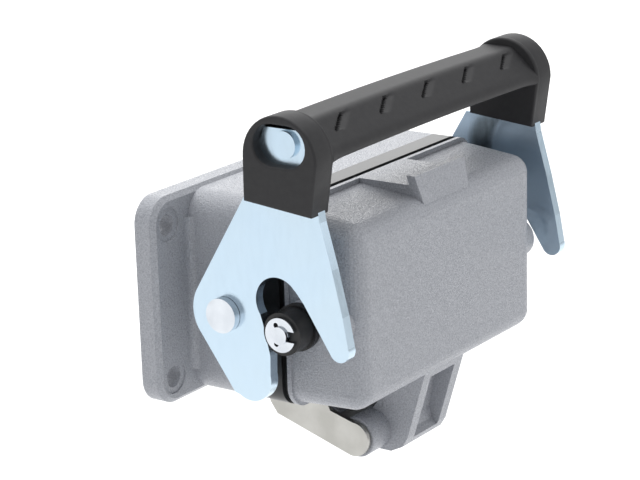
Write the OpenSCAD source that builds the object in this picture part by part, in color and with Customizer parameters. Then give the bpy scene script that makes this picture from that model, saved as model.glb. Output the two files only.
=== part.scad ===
// Heavy duty rectangular connector: bulkhead housing with a locking lever and a hinged cover.
// X runs along the handle, -Y points from the mounting face to the cover, Z is up.
// The origin is the middle of the mounting face.

/* [Flange] */
// Length of the mounting flange
flange_l = 92.2; // [80:0.1:120]
// Width of the mounting flange
flange_w = 43.4; // [38:0.1:60]
// Thickness of the mounting flange
flange_t = 4.7; // [3:0.1:8]
// Corner radius of the flange
flange_r = 5.5; // [2:0.1:8]
// Bevel on the front edge of the flange
flange_bevel = 1.0; // [0.2:0.1:2]
// Fixing hole spacing along the length
hole_dx = 83; // [70:0.5:110]
// Fixing hole spacing across the width
hole_dz = 32; // [25:0.5:45]
// Fixing hole diameter
hole_d = 4.4; // [3.5:0.1:6]
// Diameter of the spot face round each fixing hole
spot_d = 7.0; // [5:0.1:10]
// Depth of the spot face
spot_depth = 0.3; // [0.1:0.1:1]

/* [Housing] */
// Length over the housing walls
body_l = 69.4; // [55:0.1:90]
// Width over the housing walls
body_w = 42.4; // [35:0.1:55]
// Corner radius of the housing
body_r = 5.0; // [4:0.1:8]
// Wall thickness of the housing
wall = 2.4; // [1.5:0.1:4]
// Distance from the mounting face to the seal
seal_y0 = 22.0; // [16:0.1:40]
// Width of the front seal
seal_w = 5.6; // [3:0.1:9]
// Thickness of the seal over the spigot
seal_t = 1.1; // [0.6:0.1:2]
// Width of the stepped front band of the seal
step_w = 1.0; // [0.4:0.1:1.5]
// Depth of the stepped front band of the seal
step_d = 0.8; // [0.3:0.1:1]
// Root fillet between flange and short walls
root_r = 1.6; // [0.5:0.1:3]
// Side of each insert fixing lug inside the corners
lug_side = 7.0; // [5:0.1:10]
// Height of each insert fixing lug
lug_h = 8.0; // [4:0.1:14]
// Bore of each insert fixing lug
lug_bore = 3.3; // [2:0.1:4]
// Depth of the flange gasket groove
groove_t = 1.2; // [0.8:0.1:2]
// Width of the flange gasket
gasket_w = 1.8; // [1:0.1:3]

/* [Lever] */
// Distance of the lever pivot from the mounting face
pivot_y = 19.0; // [12:0.1:30]
// Diameter of the pivot shank
pivot_d = 4.0; // [3:0.1:6]
// Diameter of the rivet head
rivet_head_d = 7.1; // [5:0.1:10]
// Thickness of the rivet head
rivet_head_t = 1.7; // [0.8:0.1:3]
// Diameter of the pivot boss on the housing
pivot_boss_d = 5.8; // [5:0.1:6]
// Diameter of the washer behind each lever plate
washer_d = 8.4; // [6:0.1:12]
// Outer face of the pivot boss from the middle
pivot_boss_x = 38.9; // [36:0.1:50]
// Inner face of the lever plates from the middle
plate_x = 40.1; // [38:0.1:52]
// Thickness of the lever plates
plate_t = 2.3; // [1.2:0.1:3]
// Radius of the plate round its pivot
plate_lobe_r = 8.0; // [6:0.1:11]
// Radius of the closed end of the slot
slot_r = 5.2; // [4.8:0.1:7]
// Radius of the plate's short finger
finger_r = 5.0; // [3:0.1:6]
// Radius of the plate's long tip
tip_r = 2.25; // [1.5:0.1:3]

/* [Handle] */
// Inner face of the handle legs from the middle
leg_x = 38.7; // [36:0.1:50]
// Thickness of the handle legs
leg_t = 6.1; // [4:0.1:9]
// Radius of the arched leg top
arch_r = 8.6; // [6:0.1:10]
// Distance of the arch centre from the mounting face
arch_y = 34.9; // [30:0.1:42]
// Height of the arch centre
arch_z = 33.6; // [30:0.1:40]
// Radius of the oval window in the leg
window_r = 4.1; // [2:0.1:5]
// Half distance between the window's end centres
window_c = 1.9; // [0:0.1:3]
// Height of the window centre
window_z = 36.3; // [34:0.1:39]
// Number of grip notches on the bar
notch_n = 5; // [0:1:9]
// Spacing of the grip notches
notch_pitch = 15.5; // [8:0.1:20]

/* [Cover] */
// Distance from the mounting face to the cover rim
rim_y = 27.9; // [22:0.1:46]
// Distance from the mounting face to the cover front
front_y = 45.2; // [36:0.1:62]
// Thickness of the rim lip
rim_t = 1.0; // [0.5:0.1:2]
// Step from the rim lip down to the cover wall
rim_step = 1.0; // [0.4:0.1:2]
// Step from the rim lip in to the short cover walls
side_step = 0.4; // [0.2:0.1:2]
// Wall thickness of the cover
cover_wall = 2.0; // [1.4:0.1:4]
// Edge radius of the cover front
cover_r = 4.0; // [2:0.1:6]
// Draft of the cover walls over their depth
cover_draft = 0.5; // [0.2:0.1:2]
// Extra fall of the cover's top towards the front
front_drop = 0.8; // [0:0.1:2]
// Width of the pad on top of the cover
pad_w = 17.8; // [10:0.1:30]
// Height of the grip ridge on the pad
ridge_h = 3.0; // [1:0.1:5]
// Overhang of the ridge's top corners past the pad
ridge_flare = 1.3; // [0.2:0.1:3]
// Thickness of the grip ridge
ridge_t = 3.2; // [1.5:0.1:5]
// Width of the cast peg bosses
peg_boss_d = 8.8; // [6:0.1:11]
// Reach of the peg bosses from the peg towards the front
peg_boss_reach = 6.1; // [0.5:0.1:8]
// Rise of the peg bosses over the pegs' height
peg_boss_rise = 0.4; // [0:0.1:1]
// Outer face of the peg bosses from the middle
peg_boss_x = 36.9; // [35.5:0.1:50]

/* [Pegs] */
// Distance of the pegs from the mounting face
peg_y = 33.1; // [31:0.1:42]
// Height of the pegs over the middle
peg_z = -1.75; // [-4:0.05:4]
// Diameter of the peg pins
peg_d = 3.6; // [3:0.1:5]
// Diameter of the rollers
roller_d = 8.7; // [7:0.1:10]
// Diameter of the collar at the base of each roller
collar_d = 9.6; // [7:0.1:11]
// Outer face of the rollers from the middle
roller_x = 43.1; // [40:0.1:54]
// Diameter of the retaining clips
clip_d = 7.0; // [5:0.1:9]
// Thickness of the retaining clips
clip_t = 0.6; // [0.4:0.1:1]

/* [Hinge] */
// Distance of the hinge pin from the mounting face
hinge_y = 30.2; // [24:0.1:46]
// Depth of the hinge pin below the middle
hinge_z = 33.3; // [30:0.1:40]
// Diameter of the hinge pin
pin_d = 3.0; // [2:0.1:4]
// Half width of the cover's hinge bracket
bracket_hw = 7.6; // [4:0.1:9]
// Thickness of each bracket rib
rib_t = 2.9; // [1.5:0.1:4]
// Outer radius of the bracket round the pin
bracket_r = 4.4; // [3:0.1:6]
// Outer face of the steel arm's cheeks from the middle
cheek_x = 15.5; // [12:0.1:20]
// Thickness of the steel arm
steel_t = 1.2; // [0.8:0.1:2]
// Radius of the steel arm round the pin
arm_r = 3.7; // [3:0.1:5]
// Wire diameter of the cover spring
wire_d = 1.0; // [0.6:0.1:1.4]
// Number of coils in the cover spring
coil_n = 5; // [3:1:8]

/* [Fits] */
// Radial clearance of the running fits
run_fit = 0.05; // [0.02:0.01:0.1]
// Side clearance between moving faces
side_fit = 0.1; // [0.05:0.01:0.3]

/* [Hidden] */
$fn = 48;
eps = 0.01;
tiny = 0.2;
plate_out = plate_x + plate_t;
leg_out = leg_x + leg_t;
seal_y1 = seal_y0 + seal_w;
spigot_y = seal_y1 - 1.6;
cavity_l = body_l - 2 * wall;
cavity_w = body_w - 2 * wall;
cavity_r = body_r - wall;
spigot_l = body_l - 2 * seal_t;
spigot_w = body_w - 2 * seal_t;
spigot_r = body_r - seal_t;
cover_l = body_l - 2 * side_step;
cover_w = body_w - 2 * rim_step;
front_hl = cover_l / 2 - cover_draft / 2;
front_hw = cover_w / 2 - cover_draft;
cheek_in = cheek_x - steel_t;
boss_root = body_l / 2 - wall;
// Centre of the slot's closed end, above the peg
slot_cy = peg_y - 1.3;
slot_cz = peg_z + 5.95;
// Centre of the short finger behind the peg
finger_y = peg_y - 8.5;
finger_z = peg_z - 10.45;
// Centre of the long tip in front of the peg
tip_y = peg_y + 12.9;
tip_z = peg_z - 1.55;
// Place of the clip on the peg, and the peg's end
clip_x = roller_x + side_fit;
pin_end_x = clip_x + clip_t + 0.5;
clip_groove_d = peg_d - 0.8;
// Slope of the steel arm's web
web_a = 17.7;
// Points of the steel arm's web, from rear to front
web_y0 = 10.6;
web_z0 = 29.8;
web_y1 = 24.1;
web_z1 = web_z0 + (web_y1 - web_y0) * tan(web_a);
block_y1 = 20;
block_z1 = web_z0 + (block_y1 - web_y0) * tan(web_a);
// Rivets that fix the steel arm
arm_rivet_x = 8;
arm_rivet_y = 15.5;
arm_rivet_z = web_z0 + (arm_rivet_y - web_y0) * tan(web_a);
arm_rivet_d = 3;
arm_rivet_l = 7;
arm_rivet_head_d = 5.4;
arm_rivet_head_t = 0.98;
// Sleeves and spring on the hinge pin
sleeve_d = 4.4;
sleeve_l = cheek_in - bracket_hw - 2 * side_fit;
coil_r = sleeve_d / 2 + wire_d / 2 + 0.1;
coil_pitch = wire_d * 0.94;
coil_x0 = -cheek_in + 0.9;
// Lengths of the spring legs on the arm and on the cover
arm_leg = 6;
cover_leg = 12;

// ---------- shared shapes ----------

// Rounded block, w along X, h along Z, running forward from y0 to y1
module slab(w, h, r, y0, y1) {
    translate([0, -y0, 0])
        rotate([90, 0, 0])
            linear_extrude(height = y1 - y0) {
                square([w - 2 * r, h], center = true);
                square([w, h - 2 * r], center = true);
                for (sx = [-1, 1])
                    for (sz = [-1, 1])
                        translate([sx * (w / 2 - r), sz * (h / 2 - r)])
                            circle(r = r);
            }
}

// Cylinder along Y from y0 forward to y1
module rod_y(d, x, z, y0, y1) {
    translate([x, -y0, z])
        rotate([90, 0, 0])
            cylinder(d = d, h = y1 - y0);
}

// Cylinder along X at forward distance y, height z
module rod_x(d, y, z, x0, x1) {
    translate([x0, -y, z])
        rotate([0, 90, 0])
            cylinder(d = d, h = x1 - x0);
}

// Plate cut from a [forward, up] outline, standing between x0 and x1
module side_plate(pts, x0, x1) {
    translate([x1, 0, 0])
        rotate([0, 0, -90])
            rotate([90, 0, 0])
                linear_extrude(height = x1 - x0)
                    polygon(pts);
}

// Moves a [forward, up] outline by y and z
function shift(pts, y, z) = [for (p = pts) [p[0] + y, p[1] + z]];

// Puts a right-hand piece on the left
module left_side() {
    mirror([1, 0, 0])
        children();
}

// ---------- housing ----------

module flange_body() {
    hull() {
        slab(flange_l, flange_w, flange_r, 0, flange_t - flange_bevel);
        slab(flange_l - 2 * flange_bevel, flange_w - 2 * flange_bevel,
            flange_r - flange_bevel, 0, flange_t);
    }
}

// Concave fillet at the foot of a short wall
module root_fillet() {
    len = body_w - 2 * body_r;
    translate([body_l / 2 - eps, -flange_t - root_r, -len / 2])
        difference() {
            cube([root_r, root_r + eps, len]);
            translate([root_r, 0, -eps])
                cylinder(r = root_r, h = len + 2 * eps);
        }
}

// Corner lug that takes an insert fixing screw
module insert_lug(sx, sz) {
    x = sx * (cavity_l / 2 - lug_side / 2 + eps);
    z = sz * (cavity_w / 2 - lug_side / 2 + eps);
    translate([x, -seal_y0 + lug_h / 2, z])
        cube([lug_side, lug_h, lug_side], center = true);
}

module housing() {
    color("#a3a6ad")
    difference() {
        union() {
            difference() {
                union() {
                    flange_body();
                    slab(body_l, body_w, body_r, flange_t - eps, seal_y0);
                    slab(spigot_l, spigot_w, spigot_r, seal_y0 - eps, spigot_y);
                    root_fillet();
                    left_side()
                        root_fillet();
                    rod_x(pivot_boss_d, pivot_y, 0, boss_root, pivot_boss_x);
                    rod_x(pivot_boss_d, pivot_y, 0, -pivot_boss_x, -boss_root);
                    side_plate([[web_y0, -cavity_w / 2 - tiny], [web_y0, -web_z0],
                        [block_y1, -block_z1], [block_y1, -cavity_w / 2 - tiny]],
                        -cheek_in, cheek_in);
                }
                slab(cavity_l, cavity_w, cavity_r, -eps, spigot_y + eps);
            }
            for (sx = [-1, 1])
                for (sz = [-1, 1])
                    insert_lug(sx, sz);
        }
        gasket_ring();
        for (sx = [-1, 1])
            for (sz = [-1, 1]) {
                rod_y(hole_d, sx * hole_dx / 2, sz * hole_dz / 2, -eps, flange_t + eps);
                rod_y(spot_d, sx * hole_dx / 2, sz * hole_dz / 2, flange_t - spot_depth, flange_t + eps);
                rod_y(lug_bore, sx * (cavity_l / 2 - lug_side / 2), sz * (cavity_w / 2 - lug_side / 2),
                    seal_y0 - lug_h - eps, seal_y0 + eps);
            }
        rod_x(pivot_d, pivot_y, 0, boss_root - eps, pivot_boss_x + eps);
        rod_x(pivot_d, pivot_y, 0, -pivot_boss_x - eps, -boss_root + eps);
        for (sx = [-1, 1])
            arm_rivet_shank(sx);
    }
}

// Ring groove in the mounting face, shared by housing and gasket
module gasket_ring() {
    ring_w = body_w - 1;
    difference() {
        slab(body_l, ring_w, body_r, 0, groove_t);
        slab(body_l - 2 * gasket_w, ring_w - 2 * gasket_w, body_r - gasket_w, -1, groove_t + 1);
    }
}

module flange_gasket() {
    color("#262628")
        gasket_ring();
}

module front_seal() {
    color("#232527")
    union() {
        difference() {
            slab(body_l, body_w, body_r, seal_y0, seal_y1 - step_w);
            slab(spigot_l, spigot_w, spigot_r, seal_y0 - 1, spigot_y);
            slab(cavity_l, cavity_w, cavity_r, seal_y0, seal_y1);
        }
        difference() {
            slab(body_l - 2 * step_d, body_w - 2 * step_d, body_r - step_d, seal_y1 - step_w - eps, seal_y1);
            slab(cavity_l, cavity_w, cavity_r, seal_y0, seal_y1 + 1);
        }
    }
}

// ---------- lever ----------

module pivot_rivet() {
    color("#d7dee4")
    union() {
        rod_x(pivot_d, pivot_y, 0, boss_root, plate_out + side_fit + eps);
        rod_x(rivet_head_d, pivot_y, 0, plate_out + side_fit, plate_out + rivet_head_t);
    }
}

module pivot_washer() {
    color("#c9cfd4")
    difference() {
        rod_x(washer_d, pivot_y, 0, pivot_boss_x, plate_x - side_fit);
        rod_x(pivot_d, pivot_y, 0, pivot_boss_x - 1, plate_x + 1);
    }
}

// Sheet outline: top inside the handle, lobe round the pivot, finger and tip round the peg
plate_pts = concat(
    shift([[-10.3, -9.0]], arch_y, arch_z),
    shift([[-6.8, 4.2], [-6.8, -4.2]], pivot_y, 0),
    shift([[-12.5, -14.25], [-8.5, -15.45], [-3.7, -11.65], [-3.5, -5.25], [2.9, 1.75], [11.0, -2.75],
        [15.1, -1.25], [13.9, 5.35], [11.7, 14.45], [9.2, 23.45]], peg_y, peg_z),
    shift([[7.0, -9.2], [6.7, -1.6], [5.1, 5.6], [-4.9, 5.6], [-6.9, 0.4], [-7.5, -9.0]], arch_y, arch_z));
// Opening of the slot round the peg
slot_pts = shift([[-6.5, 5.95], [-5.0, 1.15], [-3.5, -5.25], [-3.1, -28.25],
    [11.0, -28.25], [11.0, -2.75], [4.9, 6.75], [2.9, 9.15]], peg_y, peg_z);

module lever_plate() {
    color("#c3d7e8")
    difference() {
        union() {
            difference() {
                union() {
                    side_plate(plate_pts, plate_x, plate_out);
                    rod_x(2 * plate_lobe_r, pivot_y, 0, plate_x, plate_out);
                }
                side_plate(slot_pts, plate_x - 1, plate_out + 1);
                rod_x(2 * slot_r, slot_cy, slot_cz, plate_x - 1, plate_out + 1);
            }
            rod_x(2 * finger_r, finger_y, finger_z, plate_x, plate_out);
            rod_x(2 * tip_r, tip_y, tip_z, plate_x, plate_out);
            tongue();
        }
        rod_x(pivot_d + 2 * run_fit, pivot_y, 0, plate_x - 1, plate_out + 1);
    }
}

// D-shaped lanced tongue that locks the plate in the handle
module tongue() {
    tongue_r = 2.7;
    tongue_t = 0.9;
    flat = 1.3;
    intersection() {
        rod_x(2 * tongue_r, arch_y + 0.2, window_z, plate_out - tiny, plate_out + tongue_t);
        translate([plate_x, -arch_y - tongue_r - flat, window_z - tongue_r])
            cube([plate_t + tongue_t + 1, 2 * tongue_r + flat - 0.2, 2 * tongue_r]);
    }
}

leg_pts = shift([[-8.7, -9.0], [7.0, -10.5], [arch_r, 0], [-arch_r, 0]], arch_y, arch_z);
// Bar section; its front slope runs from slope_a up to slope_b
slope_a = [8.3, 2.8];
slope_b = [3.9, 6.6];
bar_pts = shift([[-6.5, -0.2], [8.0, -0.7], slope_a, slope_b, [-4.9, 6.4], [-6.5, 4.8]], arch_y, arch_z);

module handle_leg() {
    difference() {
        union() {
            side_plate(leg_pts, leg_x, leg_out);
            rod_x(2 * arch_r, arch_y, arch_z, leg_x, leg_out);
        }
        // pocket that takes the plate
        side_plate(plate_pts, plate_x, plate_out);
        // oval window in the outer face
        for (s = [-1, 1])
            rod_x(2 * window_r, arch_y + 0.2 + s * window_c, window_z, plate_out - eps, leg_out + 1);
        translate([plate_out - eps, -arch_y - 0.2 - window_c, window_z - window_r])
            cube([leg_t, 2 * window_c, 2 * window_r]);
    }
}

// Slanted notch across the front slope of the bar
module grip_notch(x) {
    mid = (slope_a + slope_b) / 2;
    slope = atan2(slope_b[1] - slope_a[1], slope_a[0] - slope_b[0]);
    lean = 32;
    translate([x, -arch_y - mid[0], arch_z + mid[1]])
        rotate([slope, 0, 0])
            rotate([0, 0, -lean])
                cube([1.6, 5.0, 0.9], center = true);
}

module handle_grip() {
    color("#3c3c3f")
    difference() {
        union() {
            handle_leg();
            left_side()
                handle_leg();
            side_plate(bar_pts, -leg_x - eps, leg_x + eps);
        }
        for (i = [0 : notch_n - 1])
            grip_notch((i - (notch_n - 1) / 2) * notch_pitch);
    }
}

// ---------- cover ----------

// Drafted shell with round front edges
module cover_form(grow, y0, y1) {
    r = cover_r + grow;
    hull() {
        slab(cover_l + 2 * grow, cover_w + 2 * grow, body_r - rim_step + grow, y0, y0 + 1);
        for (sx = [-1, 1])
            for (sz = [-1, 1])
                translate([sx * (front_hl - cover_r), -y1 + r,
                    sz * (front_hw - cover_r) - (sz > 0 ? front_drop : 0)])
                    sphere(r = r, $fn = 28);
    }
}

// Side outline of the hinge bracket, from the cover's underside to the pin
bracket_pts = concat(
    [[front_y - 1.8, -front_hw + 1.3], [front_y - 2.3, -front_hw - 0.3]],
    shift([[8.3, -0.9], [7.0, -3.0], [4.2, -bracket_r], [0, -bracket_r], [-3.6, 0], [1.2, 6.3]],
        hinge_y, -hinge_z),
    [[hinge_y + 2.6, -front_hw + 0.7], [hinge_y + 2.6, -front_hw + 1.3]]);
// Recess between the bracket's ribs
recess_pts = concat(
    [[front_y + 0.2, -front_hw - 0.9]],
    shift([[9.0, -2.7], [6.6, -0.3], [6.0, 2.3]], hinge_y, -hinge_z),
    [[front_y - 7.0, -front_hw - 0.9]]);

// Grip ridge across the front of the pad, wider at its top
module ridge() {
    base = pad_w / 2 - 0.4;
    top = pad_w / 2 + ridge_flare;
    z0 = front_hw - front_drop - 1.6;
    z1 = body_w / 2 + ridge_h;
    translate([0, -front_y + ridge_t + 0.4, 0])
        rotate([90, 0, 0])
            linear_extrude(height = ridge_t)
                polygon([[-base, z0], [base, z0], [top, z1], [-top, z1]]);
}

module cover() {
    color("#a3a6ad")
    difference() {
        union() {
            slab(body_l, body_w, body_r, rim_y, rim_y + rim_t);
            difference() {
                cover_form(0, rim_y, front_y);
                translate([0, -rim_y + 5, 0])
                    cube([body_l * 2, 10, body_w * 2], center = true);
            }
            translate([-pad_w / 2, -front_y + 1.6, cover_w / 2 - 3])
                cube([pad_w, front_y - rim_y - 1.6, 3 + rim_step]);
            ridge();
            peg_boss();
            left_side()
                peg_boss();
            bracket();
        }
        cover_form(-cover_wall, rim_y - 1, front_y - cover_wall);
        rod_x(peg_d, peg_y, peg_z, cover_l / 2 - wall - 1, peg_boss_x + 1);
        rod_x(peg_d, peg_y, peg_z, -peg_boss_x - 1, -cover_l / 2 + wall + 1);
        rod_x(pin_d + 2 * run_fit, hinge_y, -hinge_z, -bracket_hw - 1, bracket_hw + 1);
    }
}

// Long cast boss that carries a peg on a short wall
module peg_boss() {
    x0 = cover_l / 2 - wall;
    z = peg_z + peg_boss_rise;
    rod_x(peg_boss_d, peg_y, z, x0, peg_boss_x);
    rod_x(peg_boss_d, peg_y + peg_boss_reach, z, x0, peg_boss_x);
    translate([x0, -peg_y - peg_boss_reach, z - peg_boss_d / 2])
        cube([peg_boss_x - x0, peg_boss_reach, peg_boss_d]);
}

// Two ribs and a web that carry the cover on the hinge pin
module bracket() {
    difference() {
        union() {
            side_plate(bracket_pts, -bracket_hw, bracket_hw);
            rod_x(2 * bracket_r, hinge_y, -hinge_z, -bracket_hw, bracket_hw);
        }
        side_plate(recess_pts, -bracket_hw + rib_t, bracket_hw - rib_t);
    }
}

// ---------- pegs ----------

module peg_pin() {
    color("#d7dee4")
    difference() {
        rod_x(peg_d, peg_y, peg_z, cover_l / 2 - wall, pin_end_x);
        difference() {
            rod_x(peg_d + 1, peg_y, peg_z, clip_x, clip_x + clip_t);
            rod_x(clip_groove_d, peg_y, peg_z, clip_x - 1, clip_x + clip_t + 1);
        }
    }
}

module roller() {
    color("#2b2b2e")
    difference() {
        union() {
            rod_x(roller_d, peg_y, peg_z, peg_boss_x + side_fit, roller_x);
            rod_x(collar_d, peg_y, peg_z, peg_boss_x + side_fit, peg_boss_x + 1.6);
        }
        rod_x(peg_d + 2 * run_fit, peg_y, peg_z, peg_boss_x - 1, roller_x + 1);
    }
}

module peg_clip() {
    mouth = 2.2;
    color("#d2d9df")
    difference() {
        rod_x(clip_d, peg_y, peg_z, clip_x, clip_x + clip_t);
        rod_x(clip_groove_d, peg_y, peg_z, clip_x - 1, clip_x + clip_t + 1);
        translate([clip_x - 1, -peg_y - clip_d, peg_z - mouth / 2])
            cube([clip_t + 2, clip_d, mouth]);
        for (s = [-1, 1])
            rod_x(1.1, peg_y - 0.9, peg_z + s * 1.9, clip_x - 1, clip_x + clip_t + 1);
    }
}

// ---------- hinge ----------

// Side outline of the arm's cheeks, from the housing to the pin
cheek_pts = concat(
    [[web_y0 - 1.4, -body_w / 2 - 0.05], [web_y0 - 1.4, -web_z0 + 1.2], [web_y0 + 0.4, -web_z0 - 1.3]],
    shift([[-1.1, -3.53], [0.8, 3.3], [0, 3.7], [-5.6, 5.3]], hinge_y, -hinge_z),
    [[hinge_y - 8.8, -body_w / 2 - 0.05]]);
web_pts = [[web_y0, -web_z0], [web_y0 + 0.4, -web_z0 - 1.3],
    [web_y1 + 0.4, -web_z1 - 1.25], [web_y1, -web_z1]];

module hinge_arm() {
    color("#b3b1ac")
    difference() {
        union() {
            for (s = [-1, 1]) {
                x0 = s > 0 ? cheek_in : -cheek_x;
                side_plate(cheek_pts, x0, x0 + steel_t);
                rod_x(2 * arm_r, hinge_y, -hinge_z, x0, x0 + steel_t);
            }
            side_plate(web_pts, -cheek_x + eps, cheek_x - eps);
        }
        rod_x(pin_d, hinge_y, -hinge_z, -cheek_in - steel_t / 2, cheek_in + steel_t / 2);
        for (sx = [-1, 1])
            arm_rivet_shank(sx);
    }
}

module arm_rivet_shank(sx) {
    translate([sx * arm_rivet_x, -arm_rivet_y, -arm_rivet_z])
        rotate([web_a, 0, 0])
            translate([0, 0, -1.3])
                cylinder(d = arm_rivet_d, h = arm_rivet_l);
}

module arm_rivets() {
    color("#b9b8b4")
    for (sx = [-1, 1]) {
        arm_rivet_shank(sx);
        translate([sx * arm_rivet_x, -arm_rivet_y, -arm_rivet_z])
            rotate([web_a, 0, 0])
                translate([0, 0, -2.2])
                    cylinder(d = arm_rivet_head_d, h = arm_rivet_head_t);
    }
}

module hinge_pin() {
    color("#c4c4c0")
        rod_x(pin_d, hinge_y, -hinge_z, -cheek_in - steel_t / 2, cheek_in + steel_t / 2);
}

module spring_sleeve() {
    color("#8d9095")
    difference() {
        rod_x(sleeve_d, hinge_y, -hinge_z, -cheek_in + eps, -cheek_in + sleeve_l);
        rod_x(pin_d, hinge_y, -hinge_z, -cheek_in - 1, -bracket_hw);
    }
}

module spacer_sleeve() {
    color("#8d9095")
    difference() {
        rod_x(sleeve_d + 2 * wire_d, hinge_y, -hinge_z, cheek_in - sleeve_l, cheek_in - eps);
        rod_x(pin_d, hinge_y, -hinge_z, bracket_hw, cheek_in + 1);
    }
}

// Close-wound coils with a leg on the arm's web and a leg on the cover
module hinge_spring() {
    coil_x1 = coil_x0 + (coil_n - 1) * coil_pitch;
    color("#c9c9c6")
    union() {
        difference() {
            union() {
                rod_x(2 * coil_r, hinge_y, -hinge_z, coil_x0, coil_x1);
                for (i = [0 : coil_n - 1])
                    rod_x(2 * coil_r + wire_d, hinge_y, -hinge_z, coil_x0 + i * coil_pitch - 0.3 * wire_d,
                        coil_x0 + i * coil_pitch + 0.3 * wire_d);
            }
            rod_x(2 * coil_r - wire_d, hinge_y, -hinge_z, -cheek_x, 0);
        }
        rod_leg(coil_x0, 0, coil_r, -98, arm_leg);
        rod_leg(coil_x1, -coil_r, 0, 6, cover_leg);
    }
}

// Straight spring leg that starts at dy, dz from the pin and leans by a
module rod_leg(x, dy, dz, a, len) {
    translate([x, -hinge_y + dy, -hinge_z + dz])
        rotate([a, 0, 0])
            cylinder(d = wire_d, h = len);
}

// ---------- nodes ----------

housing();
flange_gasket();
front_seal();
left_side() pivot_rivet();  // pivot_rivet_left
pivot_rivet();  // pivot_rivet_right
left_side() pivot_washer();  // pivot_washer_left
pivot_washer();  // pivot_washer_right
left_side() lever_plate();  // lever_plate_left
lever_plate();  // lever_plate_right
handle_grip();
cover();
left_side() peg_pin();  // peg_pin_left
peg_pin();  // peg_pin_right
left_side() roller();  // roller_left
roller();  // roller_right
left_side() peg_clip();  // peg_clip_left
peg_clip();  // peg_clip_right
hinge_arm();
arm_rivets();
hinge_pin();
hinge_spring();
spring_sleeve();
spacer_sleeve();
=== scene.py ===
"""Heavy duty rectangular connector: looks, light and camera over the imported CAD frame."""
import math

import bmesh
import bpy
from mathutils import Matrix, Vector


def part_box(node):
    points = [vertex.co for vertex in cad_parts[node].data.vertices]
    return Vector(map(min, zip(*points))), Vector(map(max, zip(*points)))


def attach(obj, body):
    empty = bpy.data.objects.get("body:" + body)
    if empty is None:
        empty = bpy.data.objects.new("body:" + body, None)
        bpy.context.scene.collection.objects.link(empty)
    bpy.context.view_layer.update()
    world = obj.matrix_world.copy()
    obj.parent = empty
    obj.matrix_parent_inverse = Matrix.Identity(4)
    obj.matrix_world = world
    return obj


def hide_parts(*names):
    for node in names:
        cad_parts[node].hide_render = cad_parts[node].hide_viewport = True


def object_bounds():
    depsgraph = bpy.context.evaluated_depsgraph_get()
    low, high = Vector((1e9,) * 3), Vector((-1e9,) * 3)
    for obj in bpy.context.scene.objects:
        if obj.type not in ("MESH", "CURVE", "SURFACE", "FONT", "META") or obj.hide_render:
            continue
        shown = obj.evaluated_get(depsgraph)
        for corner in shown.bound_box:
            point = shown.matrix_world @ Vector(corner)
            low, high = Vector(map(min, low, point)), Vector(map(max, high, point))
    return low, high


MM = 0.001
SIDES = ("left", "right")

# ---------- camera fitted to the photo: degrees, metres, lens and sensor in mm ----------
CAM_AZIMUTH = -56.06
CAM_ELEVATION = 16.86
CAM_ROLL = -1.32
CAM_DISTANCE = 0.48739
CAM_TARGET = (0.0, -0.02514, 0.0)
CAM_LENS = 130.47
CAM_SENSOR = 36.0
CAM_SHIFT = (-0.0788, 0.0371)

# ---------- light and floor ----------
WORLD_STRENGTH = 0.55
LIGHT_TARGET = (0, -0.03, 0)
# Name, place, size in metres, power in watts
SOFTBOXES = (
    ("top_softbox", (0.1, 0.40, 1.60), (2.4, 2.4), 38.0),
    ("front_softbox", (0.55, -0.80, 0.35), (0.7, 0.6), 1.2),
    ("back_softbox", (1.00, 0.70, 0.42), (1.1, 0.6), 4.0),
)
# The part hangs clear of the floor, as a part held by its flange does
FLOOR_DROP = 0.15
FLOOR_HALF = 6.0

# ---------- sizes of the scene's own pieces ----------
# Corrections to the cover's grip ridge: the photo has it narrower, further back and lower
RIDGE_NARROW = 0.94
RIDGE_FRONT_BACK = 2.1 * MM
RIDGE_REAR_BACK = 0.9 * MM
RIDGE_LOWER = 0.9 * MM
RIDGE_FOOT_IN = 0.5 * MM
# Which of the cover's vertices are the ridge's: its top edges, then its front foot
RIDGE_TOP_BAND = 0.05 * MM
RIDGE_TOP_DEPTH = 1 * MM
RIDGE_FOOT_BAND = 0.02 * MM
RIDGE_FOOT_HALF = 10 * MM
# Barrel of the cover's hinge on the spring's side
BARREL_R = 4.3 * MM
BARREL_BORE_R = 3.45 * MM
BARREL_GAP = 0.15 * MM
BARREL_OVERLAP = 0.3 * MM
BARREL_EDGE = 0.2 * MM
# Handle legs: an arch over an oval window, with the foot's corners taken from the arch centre
ARCH_R = 8.6 * MM
LEG_T = 6.1 * MM
LEG_FRONT = 7.0 * MM
LEG_REAR = 8.7 * MM
LEG_REAR_DROP = 9.0 * MM
LEG_EDGE = 0.45 * MM
LEG_LAP = 0.9 * MM
WINDOW_R = 4.1 * MM
WINDOW_HALF = 1.9 * MM
WINDOW_RISE = 2.7 * MM
# Handle bar section, (forward, up) from the arch centre in mm
BAR_SECTION = ((-6.5, -0.2), (8.1, -0.9), (8.2, 1.2), (2.2, 6.6), (-4.7, 6.7), (-6.5, 4.6))
NOTCHED_LOW, NOTCHED_TOP = BAR_SECTION[2:4]
BAR_MIDDLE_RISE = 2.5 * MM
BAR_CORNER = 1.1 * MM
BAR_RING = 96
BAR_STEP = 0.25 * MM
BAR_LAP = 0.3 * MM
BAR_BOW = 0.4 * MM
BAR_FLARE = 5.0 * MM
BAR_SWELL = 0.06
BAR_SMOOTH = 40
# Thumb notches in the bar's slanted face
NOTCH_COUNT = 5
NOTCH_PITCH = 15.5 * MM
NOTCH_LEAN = 1.6
NOTCH_SLIT = 1.1 * MM
NOTCH_RUN = 4.0 * MM
NOTCH_HALF = 1.6 * MM
NOTCH_RAISE = 1.4 * MM
NOTCH_DEPTH = 1.1 * MM
NOTCH_RAMP = 0.45
NOTCH_SKIN = 0.25 * MM
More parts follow.
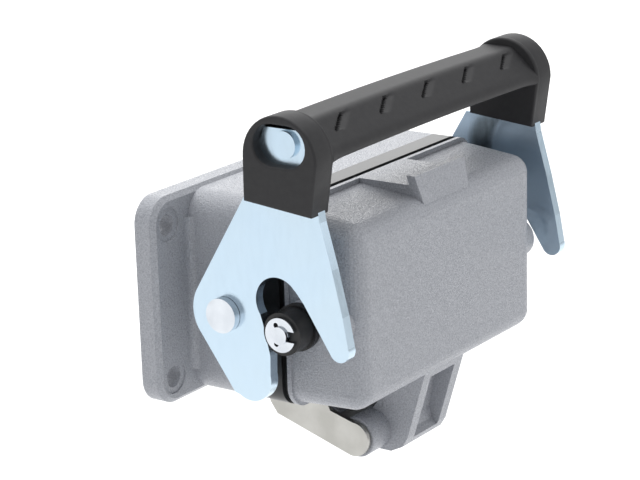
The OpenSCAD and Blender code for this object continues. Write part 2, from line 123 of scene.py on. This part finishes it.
# Cover spring: the coils' clearance is in wire radii, the legs end at these offsets
SPRING_WIRE_R = 0.5 * MM
SPRING_CLEAR = 1.15
SPRING_TURNS = 4.25
SPRING_STEPS = 24
ARM_LEG_REACH = 6 * MM
ARM_LEG_DROP = 0.8 * MM
COVER_LEG_REACH = 0.3 * MM
COVER_LEG_RISE = 2.6 * MM

# ---------- edge rounding ----------
EDGE_ANGLE = 35
EDGE_SEGMENTS = 3
PLATE_EDGE = 0.25 * MM
PLATE_SMOOTH = 24
COVER_EDGE = 0.35 * MM
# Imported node, width in mm, segments
NODE_EDGES = (
    ("housing", 0.5, 3),
    ("pivot_rivet_left", 0.45, 4),
    ("pivot_rivet_right", 0.45, 4),
    ("peg_pin_left", 0.35, 3),
    ("peg_pin_right", 0.35, 3),
    ("roller_left", 0.3, 3),
    ("roller_right", 0.3, 3),
    ("peg_clip_left", 0.1, 2),
    ("peg_clip_right", 0.1, 2),
    ("front_seal", 0.3, 3),
    ("hinge_arm", 0.2, 3),
)

# ---------- colours (linear) ----------
PAINT_DARK = (0.270, 0.283, 0.314, 1)
PAINT_LIGHT = (0.400, 0.414, 0.452, 1)
ZINC_BLUE = (0.57, 0.71, 0.83, 1)
ZINC_GREY = (0.577, 0.707, 0.809, 1)
STEEL_DARK = (0.62, 0.66, 0.71, 1)
STEEL_LIGHT = (0.74, 0.78, 0.83, 1)
WARM_DARK = (0.44, 0.435, 0.41, 1)
WARM_LIGHT = (0.52, 0.515, 0.49, 1)
BLACK = (0.016, 0.016, 0.018, 1)
BLACK_LIGHT = (0.020, 0.020, 0.022, 1)
RUBBER = (0.010, 0.011, 0.012, 1)
RUBBER_LIGHT = (0.014, 0.015, 0.016, 1)
ROLLER = (0.007, 0.007, 0.008, 1)
ROLLER_LIGHT = (0.010, 0.010, 0.011, 1)
SLEEVE = (0.17, 0.175, 0.19, 1)
SLEEVE_LIGHT = (0.20, 0.205, 0.22, 1)
FLOOR_DARK = (0.93, 0.93, 0.93, 1)
FLOOR_LIGHT = (0.95, 0.95, 0.95, 1)


# ---------- materials ----------

def new_material(name, dark, light, rough, metallic, specular, colour_scale):
    """A material whose colour drifts a little between dark and light over the surface."""
    material = bpy.data.materials.new(name)
    material.use_nodes = True
    nodes = material.node_tree.nodes
    links = material.node_tree.links
    shader = nodes["Principled BSDF"]
    shader.inputs["Roughness"].default_value = rough
    shader.inputs["Metallic"].default_value = metallic
    shader.inputs["Specular IOR Level"].default_value = specular
    coord = nodes.new("ShaderNodeTexCoord")
    noise = nodes.new("ShaderNodeTexNoise")
    noise.inputs["Scale"].default_value = colour_scale
    noise.inputs["Detail"].default_value = 4.0
    ramp = nodes.new("ShaderNodeValToRGB")
    ramp.color_ramp.elements[0].position = 0.35
    ramp.color_ramp.elements[0].color = dark
    ramp.color_ramp.elements[1].position = 0.65
    ramp.color_ramp.elements[1].color = light
    links.new(coord.outputs["Object"], noise.inputs["Vector"])
    links.new(noise.outputs["Fac"], ramp.inputs["Fac"])
    links.new(ramp.outputs["Color"], shader.inputs["Base Color"])
    return material, shader, coord


def add_bump(material, shader, coord, scale, strength, distance, stretch=(1, 1, 1)):
    """Fine relief from noise; stretch pulls it into brushed or rolled lines."""
    nodes = material.node_tree.nodes
    links = material.node_tree.links
    mapping = nodes.new("ShaderNodeMapping")
    mapping.inputs["Scale"].default_value = stretch
    noise = nodes.new("ShaderNodeTexNoise")
    noise.inputs["Scale"].default_value = scale
    noise.inputs["Detail"].default_value = 2.0
    bump = nodes.new("ShaderNodeBump")
    bump.inputs["Strength"].default_value = strength
    bump.inputs["Distance"].default_value = distance
    links.new(coord.outputs["Object"], mapping.inputs["Vector"])
    links.new(mapping.outputs["Vector"], noise.inputs["Vector"])
    links.new(noise.outputs["Fac"], bump.inputs["Height"])
    links.new(bump.outputs["Normal"], shader.inputs["Normal"])
    return noise


def add_speckle(material, shader, noise, low, high, spread):
    """Roughness that follows the relief, so single grains catch the light."""
    nodes = material.node_tree.nodes
    links = material.node_tree.links
    span = nodes.new("ShaderNodeMapRange")
    span.inputs["From Min"].default_value = 0.5 - spread
    span.inputs["From Max"].default_value = 0.5 + spread
    span.inputs["To Min"].default_value = high
    span.inputs["To Max"].default_value = low
    links.new(noise.outputs["Fac"], span.inputs["Value"])
    links.new(span.outputs["Result"], shader.inputs["Roughness"])


def cast_paint():
    """Grey paint with a fine grain over the die-cast pieces."""
    material, shader, coord = new_material("cast_paint", PAINT_DARK, PAINT_LIGHT, rough=0.45,
                                           metallic=0.0, specular=0.5, colour_scale=3400)
    noise = add_bump(material, shader, coord, scale=2700, strength=1.0, distance=0.16 * MM)
    add_speckle(material, shader, noise, low=0.16, high=0.55, spread=0.14)
    return material


def zinc_plate():
    """Blue zinc on the lever plates, faintly drawn out along their height."""
    material, shader, coord = new_material("zinc_plate", ZINC_BLUE, ZINC_GREY, rough=0.25,
                                           metallic=1.0, specular=0.5, colour_scale=60)
    noise = add_bump(material, shader, coord, scale=900, strength=0.05, distance=0.05 * MM,
                     stretch=(1, 1, 0.25))
    add_speckle(material, shader, noise, low=0.18, high=0.27, spread=0.2)
    return material


def bright_steel():
    """Rivets, washers, pins, clips and the spring."""
    material, shader, coord = new_material("bright_steel", STEEL_DARK, STEEL_LIGHT, rough=0.18,
                                           metallic=1.0, specular=0.5, colour_scale=250)
    add_bump(material, shader, coord, scale=900, strength=0.08, distance=0.04 * MM)
    return material


def hinge_steel():
    """Warmer, duller steel of the hinge arm, rolled along Y."""
    material, shader, coord = new_material("hinge_steel", WARM_DARK, WARM_LIGHT, rough=0.30,
                                           metallic=1.0, specular=0.5, colour_scale=180)
    add_bump(material, shader, coord, scale=800, strength=0.12, distance=0.04 * MM,
             stretch=(1, 0.3, 1))
    return material


def plastic(name, dark, light, rough, relief):
    """Moulded plastic or rubber with a fine texture."""
    material, shader, coord = new_material(name, dark, light, rough, metallic=0.0,
                                           specular=0.45, colour_scale=700)
    add_bump(material, shader, coord, scale=2200, strength=relief, distance=0.05 * MM)
    return material


def paint(material, *node_names):
    """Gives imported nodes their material."""
    for name in node_names:
        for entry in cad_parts[name].material_slots:
            entry.material = material


# ---------- pieces ----------

def soften(piece, width, segments=EDGE_SEGMENTS):
    """Rounds a piece's edges for the light."""
    bevel = piece.modifiers.new("edge", "BEVEL")
    bevel.width = width
    bevel.segments = segments
    bevel.limit_method = "ANGLE"
    bevel.angle_limit = math.radians(EDGE_ANGLE)


def smooth(mesh, angle):
    """Smooth shading, with edges sharper than the angle kept."""
    for face in mesh.polygons:
        face.use_smooth = True
    mesh.set_sharp_from_angle(angle=math.radians(angle))


def place_piece(name, data, material, body):
    """Puts a new piece in the scene, on its body and in its material slot."""
    piece = bpy.data.objects.new(name, data)
    bpy.context.scene.collection.objects.link(piece)
    piece.data.materials.clear()
    piece.data.materials.append(material)
    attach(piece, body)
    return piece


def arc(centre, radius, start, end, steps):
    """Points on a circle, angles in degrees."""
    points = []
    for step in range(steps + 1):
        angle = math.radians(start + (end - start) * step / steps)
        points.append(Vector((centre[0] + radius * math.cos(angle),
                              centre[1] + radius * math.sin(angle))))
    return points


def rounded(corners, radius, steps=5):
    """Closed outline with each corner drawn as a short curve."""
    outline = []
    count = len(corners)
    for index, corner in enumerate(corners):
        here = Vector(corner)
        before = Vector(corners[index - 1])
        after = Vector(corners[(index + 1) % count])
        start = here + (before - here) * min(radius / (before - here).length, 0.48)
        end = here + (after - here) * min(radius / (after - here).length, 0.48)
        for step in range(steps + 1):
            t = step / steps
            outline.append(start * (1 - t) ** 2 + here * 2 * t * (1 - t) + end * t ** 2)
    return outline


def resample(outline, count):
    """The same closed outline with evenly spaced points."""
    lengths = [0.0]
    for index, point in enumerate(outline):
        lengths.append(lengths[-1] + (outline[(index + 1) % len(outline)] - point).length)
    points = []
    index = 0
    for step in range(count):
        target = lengths[-1] * step / count
        while lengths[index + 1] < target:
            index += 1
        share = (target - lengths[index]) / (lengths[index + 1] - lengths[index])
        points.append(outline[index].lerp(outline[(index + 1) % len(outline)], share))
    return points


def sheet(name, outlines, x0, x1, bevel, material, body):
    """Flat piece between x0 and x1 from (Y, Z) outlines; a second outline is a hole."""
    curve = bpy.data.curves.new(name, "CURVE")
    curve.dimensions = "2D"
    curve.fill_mode = "BOTH"
    curve.extrude = (x1 - x0) / 2 - bevel
    curve.bevel_depth = bevel
    curve.bevel_resolution = 3
    curve.offset = -bevel
    for outline in outlines:
        spline = curve.splines.new("POLY")
        spline.points.add(len(outline) - 1)
        for point, place in zip(spline.points, outline):
            point.co = (place[0], place[1], 0, 1)
        spline.use_cyclic_u = True
    piece = place_piece(name, curve, material, body)
    piece.matrix_world = Matrix(((0, 0, 1, (x0 + x1) / 2), (1, 0, 0, 0), (0, 1, 0, 0),
                                 (0, 0, 0, 1)))
    return piece


def wire_piece(name, points, radius, material, body):
    """A round wire along points, as a curve piece riding on a body."""
    curve = bpy.data.curves.new(name, "CURVE")
    curve.dimensions = "3D"
    curve.bevel_depth = radius
    curve.bevel_resolution = 4
    curve.use_fill_caps = True
    spline = curve.splines.new("POLY")
    spline.points.add(len(points) - 1)
    for point, place in zip(spline.points, points):
        point.co = (*place, 1.0)
    return place_piece(name, curve, material, body)


# ---------- lever plates ----------

def lever_plate(side, material):
    """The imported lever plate, its long edges shaded as the smooth curves they are."""
    node = "lever_plate_" + side
    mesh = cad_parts[node].data.copy()
    smooth(mesh, PLATE_SMOOTH)
    piece = place_piece(node + "_sheet", mesh, material, "lever_body")
    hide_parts(node)
    soften(piece, PLATE_EDGE)


# ---------- cover ----------

def cover_shell(material):
    """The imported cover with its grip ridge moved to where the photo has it."""
    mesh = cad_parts["cover"].data.copy()
    ridge_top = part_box("cover")[1][2] - RIDGE_TOP_BAND
    front_y = min(vertex.co.y for vertex in mesh.vertices if vertex.co.z > ridge_top)
    for vertex in mesh.vertices:
        place = vertex.co
        if place.z > ridge_top:
            at_front = place.y < front_y + RIDGE_TOP_DEPTH
            place.x *= RIDGE_NARROW
            place.y += RIDGE_FRONT_BACK if at_front else RIDGE_REAR_BACK
            place.z -= RIDGE_LOWER
        elif (abs(place.y - front_y) < RIDGE_FOOT_BAND and place.z > 0
              and abs(place.x) < RIDGE_FOOT_HALF):
            place.y += RIDGE_FOOT_IN
    piece = place_piece("cover_shell", mesh, material, "cover_body")
    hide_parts("cover")
    soften(piece, COVER_EDGE)


def hinge_barrel(material):
    """Cast barrel of the cover round the spring, between the arm's cheek and the rib."""
    pin_low, pin_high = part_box("hinge_pin")
    sleeve_low, sleeve_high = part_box("spring_sleeve")
    centre = ((pin_low[1] + pin_high[1]) / 2, (pin_low[2] + pin_high[2]) / 2)
    # Full circles: 36 points, ten degrees apart
    loops = [arc(centre, radius, 0, 350, 35) for radius in (BARREL_R, BARREL_BORE_R)]
    piece = sheet("cover_hinge_barrel", loops, sleeve_low[0] + BARREL_GAP,
                  sleeve_high[0] + BARREL_OVERLAP, BARREL_EDGE, material, "cover_body")
    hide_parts("cover")


# ---------- handle ----------

def notch_depth(x, height):
    """Thumb notches: each a slanted slit with a shallow ramp that runs out to the right."""
    height -= NOTCH_RAISE
    for index in range(NOTCH_COUNT):
        start = (index - (NOTCH_COUNT - 1) / 2) * NOTCH_PITCH + height * NOTCH_LEAN
        run = x - start
        if abs(height) > NOTCH_HALF or not 0 <= run < NOTCH_RUN:
            continue
        if run < NOTCH_SLIT:
            return NOTCH_DEPTH
        return NOTCH_DEPTH * NOTCH_RAMP * (NOTCH_RUN - run) / (NOTCH_RUN - NOTCH_SLIT)
    return 0.0


def bar_vertices(centre, half_length, stations):
    """Rings of the bar's surface along X, swollen at the ends and notched in front."""
    def from_arch(point):
        return Vector((centre[0] - point[0] * MM, centre[1] + point[1] * MM))

    section = resample(rounded([from_arch(corner) for corner in BAR_SECTION], BAR_CORNER),
                       BAR_RING)
    middle = Vector((centre[0], centre[1] + BAR_MIDDLE_RISE))
    face_top = from_arch(NOTCHED_TOP)
    face_low = from_arch(NOTCHED_LOW)
    face_mid = (face_top + face_low) / 2
    along = (face_top - face_low).normalized()
    inward = Vector((-along[1], along[0]))
    if inward.dot(middle - face_mid) < 0:
        inward = -inward
    half_face = (face_top - face_low).length / 2
    vertices = []
    for station in range(stations + 1):
        x = -half_length + 2 * half_length * station / stations
        near_end = max(0.0, 1 - (half_length - abs(x)) / BAR_FLARE)
        swell = 1 + BAR_SWELL * near_end ** 2
        lift = BAR_BOW * (1 - (x / half_length) ** 2)
        for point in section:
            place = middle + (point - middle) * swell
            offset = point - face_mid
            height = offset.dot(along)
            if abs(offset.dot(inward)) < NOTCH_SKIN and abs(height) < half_face:
                place = place + inward * notch_depth(x, height)
            vertices.append((x, place[0], place[1] + lift))
    return vertices


def tube_faces(stations, ring):
    """Faces of a closed tube whose vertices come ring by ring."""
    faces = []
    for station in range(stations):
        base = station * ring
        for index in range(ring):
            following = (index + 1) % ring
            faces.append((base + index, base + following, base + ring + following,
                          base + ring + index))
    faces.append(tuple(reversed(range(ring))))
    faces.append(tuple(range(stations * ring, (stations + 1) * ring)))
    return faces


def handle_bar(material, centre, half_length):
    """Grip bar: a rounded wedge section that swells into the legs, with thumb notches."""
    stations = int(2 * half_length / BAR_STEP)
    mesh = bpy.data.meshes.new("handle_bar")
    mesh.from_pydata(bar_vertices(centre, half_length, stations), [],
                     tube_faces(stations, BAR_RING))
    bm = bmesh.new()
    bm.from_mesh(mesh)
    bmesh.ops.recalc_face_normals(bm, faces=bm.faces)
    bm.to_mesh(mesh)
    bm.free()
    smooth(mesh, BAR_SMOOTH)
    return place_piece("handle_bar", mesh, material, "lever_body")


def handle(material):
    """Moulded handle: two arched legs with oval windows and the grip bar between them."""
    low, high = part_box("handle_grip")
    plate_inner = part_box("lever_plate_right")[0][0]
    centre = (low[1] + ARCH_R, high[2] - ARCH_R)
    leg_x = high[0] - LEG_T
    outline = arc(centre, ARCH_R, 0, 180, 24)
    outline.append(Vector((centre[0] - LEG_FRONT, low[2])))
    outline.append(Vector((centre[0] + LEG_REAR, centre[1] - LEG_REAR_DROP)))
    window_z = centre[1] + WINDOW_RISE
    window = (arc((centre[0] + WINDOW_HALF, window_z), WINDOW_R, -90, 90, 12)
              + arc((centre[0] - WINDOW_HALF, window_z), WINDOW_R, 90, 270, 12))
    layers = (("inner", leg_x, plate_inner, [outline]),
              ("outer", plate_inner - LEG_LAP, high[0], [outline, window]))
    pieces = [handle_bar(material, centre, leg_x + BAR_LAP)]
    for side, sign in zip(SIDES, (-1, 1)):
        for layer, inner, outer, loops in layers:
            x0, x1 = sorted((sign * inner, sign * outer))
            pieces.append(sheet("handle_leg_" + layer + "_" + side, loops, x0, x1, LEG_EDGE,
                                material, "lever_body"))
    for piece in pieces:
        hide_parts("handle_grip")


# ---------- spring ----------

def cover_spring(material):
    """Wound torsion spring in place of the CAD stack: coils round the pin and two legs."""
    low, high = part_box("hinge_spring")
    sleeve_low, sleeve_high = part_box("spring_sleeve")
    centre_y = (sleeve_low[1] + sleeve_high[1]) / 2
    centre_z = (sleeve_low[2] + sleeve_high[2]) / 2
    radius = (sleeve_high[2] - sleeve_low[2]) / 2 + SPRING_WIRE_R * SPRING_CLEAR
    start_x = low[0] + SPRING_WIRE_R
    end_x = high[0] - SPRING_WIRE_R
    count = int(SPRING_TURNS * SPRING_STEPS)
    points = [(start_x, centre_y + ARM_LEG_REACH, centre_z + radius - ARM_LEG_DROP)]
    for index in range(count + 1):
        turn = 2 * math.pi * index / SPRING_STEPS
        x = start_x + (end_x - start_x) * index / count
        points.append((x, centre_y - radius * math.sin(turn),
                       centre_z + radius * math.cos(turn)))
    points.append((end_x, centre_y - radius - COVER_LEG_REACH, centre_z + COVER_LEG_RISE))
    piece = wire_piece("cover_spring_wire", points, SPRING_WIRE_R, material, "housing_body")
    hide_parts("hinge_spring")


# ---------- light, floor and camera ----------

def area_light(name, place, size, power):
    """A soft box that the camera doesn't see."""
    light = bpy.data.lights.new(name, "AREA")
    light.shape = "RECTANGLE"
    light.size, light.size_y = size
    light.energy = power
    lamp = bpy.data.objects.new(name, light)
    bpy.context.scene.collection.objects.link(lamp)
    lamp.location = place
    lamp.visible_camera = False
    aim = Vector(LIGHT_TARGET) - Vector(place)
    lamp.rotation_euler = aim.to_track_quat("-Z", "Y").to_euler()


def studio():
    """White surroundings and the soft boxes."""
    world = bpy.data.worlds.new("studio")
    bpy.context.scene.world = world
    world.use_nodes = True
    background = world.node_tree.nodes["Background"]
    background.inputs["Color"].default_value = (1, 1, 1, 1)
    background.inputs["Strength"].default_value = WORLD_STRENGTH
    bpy.context.scene.view_settings.view_transform = "Standard"
    for softbox in SOFTBOXES:
        area_light(*softbox)


def pale_floor(z):
    """Plain pale floor at height z."""
    mesh = bpy.data.meshes.new("floor")
    corners = [(-FLOOR_HALF, -FLOOR_HALF, z), (FLOOR_HALF, -FLOOR_HALF, z),
               (FLOOR_HALF, FLOOR_HALF, z), (-FLOOR_HALF, FLOOR_HALF, z)]
    mesh.from_pydata(corners, [], [(0, 1, 2, 3)])
    floor = bpy.data.objects.new("floor", mesh)
    bpy.context.scene.collection.objects.link(floor)
    material = new_material("pale_floor", FLOOR_DARK, FLOOR_LIGHT, rough=0.9, metallic=0,
                            specular=0.2, colour_scale=4)[0]
    floor.data.materials.append(material)


def photo_camera():
    """The camera that matches the photo's view."""
    azimuth = math.radians(CAM_AZIMUTH)
    elevation = math.radians(CAM_ELEVATION)
    roll = math.radians(CAM_ROLL)
    back = Vector((math.sin(azimuth) * math.cos(elevation),
                   -math.cos(azimuth) * math.cos(elevation), math.sin(elevation)))
    right = Vector((math.cos(azimuth), math.sin(azimuth), 0))
    up = back.cross(right)
    right_rolled = right * math.cos(roll) + up * math.sin(roll)
    up_rolled = up * math.cos(roll) - right * math.sin(roll)
    data = bpy.data.cameras.new("camera")
    data.lens = CAM_LENS
    data.sensor_width = CAM_SENSOR
    data.shift_x, data.shift_y = CAM_SHIFT
    camera = bpy.data.objects.new("camera", data)
    place = Vector(CAM_TARGET) + back * CAM_DISTANCE
    turn = Matrix((right_rolled, up_rolled, back)).transposed().to_4x4()
    camera.matrix_world = Matrix.Translation(place) @ turn
    bpy.context.scene.collection.objects.link(camera)
    bpy.context.scene.camera = camera


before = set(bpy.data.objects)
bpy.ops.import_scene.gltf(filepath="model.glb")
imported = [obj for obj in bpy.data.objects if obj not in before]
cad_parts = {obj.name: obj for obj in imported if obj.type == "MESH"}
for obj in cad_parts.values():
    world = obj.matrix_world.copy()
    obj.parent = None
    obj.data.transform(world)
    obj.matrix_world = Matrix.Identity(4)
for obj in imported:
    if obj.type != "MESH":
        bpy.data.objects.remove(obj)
frame_box = [list(corner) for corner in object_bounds()]
photo_camera()
studio()
pale_floor(frame_box[0][2] - FLOOR_DROP)

PAINTED = cast_paint()
ZINCED = zinc_plate()
BRIGHT = bright_steel()
HINGE = hinge_steel()
GRIP = plastic("handle_plastic", BLACK, BLACK_LIGHT, rough=0.60, relief=0.22)
SEAL = plastic("seal_rubber", RUBBER, RUBBER_LIGHT, rough=0.32, relief=0.05)
WHEEL = plastic("roller_plastic", ROLLER, ROLLER_LIGHT, rough=0.42, relief=0.12)
BUSH = plastic("sleeve_plastic", SLEEVE, SLEEVE_LIGHT, rough=0.5, relief=0.15)

paint(PAINTED, "housing")
paint(BRIGHT, "pivot_rivet_left", "pivot_rivet_right", "pivot_washer_left",
      "pivot_washer_right", "peg_pin_left", "peg_pin_right", "peg_clip_left", "peg_clip_right")
paint(SEAL, "front_seal", "flange_gasket")
paint(WHEEL, "roller_left", "roller_right")
paint(HINGE, "hinge_arm", "arm_rivets", "hinge_pin")
paint(BUSH, "spring_sleeve", "spacer_sleeve")

for node_name, edge_width, edge_segments in NODE_EDGES:
    soften(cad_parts[node_name], edge_width * MM, edge_segments)

for plate_side in SIDES:
    lever_plate(plate_side, ZINCED)
cover_spring(BRIGHT)
handle(GRIP)
cover_shell(PAINTED)
hinge_barrel(PAINTED)
